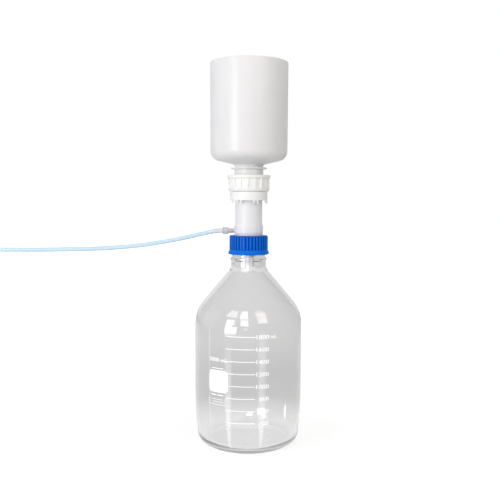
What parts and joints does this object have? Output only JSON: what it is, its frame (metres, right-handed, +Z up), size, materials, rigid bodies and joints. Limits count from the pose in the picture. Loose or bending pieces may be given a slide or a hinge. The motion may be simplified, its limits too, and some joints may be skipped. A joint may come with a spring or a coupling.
{
  "type": "vacuum filtration unit",
  "caption": "Bottle-top vacuum filtration unit: an open funnel and clamped filter holder screwed on a graduated glass bottle, with a side vacuum port and flexible line.",
  "frame": {"origin": "centre of the bottle's base, on the surface it stands on", "axes": "+Z up through the bottle and funnel, -X along the vacuum port, -Y towards the side with the graduations"},
  "size_m": [0.403, 0.136, 0.4794],
  "materials": {
    "borosilicate_glass": "clear, fire polished",
    "blue_polypropylene": "moulded, slightly glossy",
    "natural_polypropylene": "moulded, translucent",
    "white_polypropylene": "moulded, opaque, satin",
    "natural_polyethylene": "blow moulded, translucent, satin",
    "silicone_rubber": "moulded, matte",
    "clear_polycarbonate": "moulded, clear",
    "blue_tubing": "extruded, smooth, tinted light blue",
    "cellulose_membrane": "matte",
    "printed_enamel": "white ceramic enamel print, fired on the glass"
  },
  "bodies": {
    "bottle": {"glass_bottle": "borosilicate_glass"},
    "holder": {"bottle_gasket": "silicone_rubber", "adapter_tube": "natural_polypropylene", "drip_tube": "natural_polypropylene", "filter_base": "white_polypropylene", "tube_seal": "silicone_rubber", "support_screen": "white_polypropylene", "membrane_filter": "cellulose_membrane", "filter_gasket": "silicone_rubber", "vacuum_port": "clear_polycarbonate", "port_seal": "silicone_rubber", "hose_barb": "clear_polycarbonate", "vacuum_tubing": "blue_tubing", "far_hose_barb": "clear_polycarbonate"},
    "cap": {"screw_cap": "blue_polypropylene"},
    "funnel_half": {"funnel": "natural_polyethylene", "funnel_socket": "white_polypropylene", "funnel_seal": "silicone_rubber"},
    "nut": {"collar_nut": "white_polypropylene"},
    "near_ring": {"luer_lock_ring": "clear_polycarbonate"},
    "far_ring": {"far_lock_ring": "clear_polycarbonate"}
  },
  "joints": [
    {"name": "unit_rise", "type": "slide", "parent": "bottle", "child": "holder", "axis": [0, 0, 1], "range_m": [0, 0.006]},
    {"name": "cap_turn", "type": "hinge", "parent": "holder", "child": "cap", "pos_m": [0, 0, 0.25], "axis": [0, 0, 1], "range_deg": [0, 540]},
    {"name": "funnel_rise", "type": "slide", "parent": "holder", "child": "funnel_half", "axis": [0, 0, 1], "range_m": [0, 0.0045]},
    {"name": "collar_turn", "type": "hinge", "parent": "funnel_half", "child": "nut", "pos_m": [0, 0, 0.33], "axis": [0, 0, 1], "range_deg": [0, 540]},
    {"name": "lock_ring_turn", "type": "hinge", "parent": "holder", "child": "near_ring", "pos_m": [-0.029, 0, 0.2706], "axis": [1, 0, 0], "range_deg": [0, 180]},
    {"name": "far_ring_turn", "type": "hinge", "parent": "holder", "child": "far_ring", "pos_m": [-0.33, -0.0009, 0.2454], "axis": [1, 0, 0], "continuous": true}
  ],
  "couplings": [
    {"joint": "cap_turn", "follows": "unit_rise", "rad_per_m": 1570.8},
    {"joint": "collar_turn", "follows": "funnel_rise", "rad_per_m": 2094.4}
  ]
}
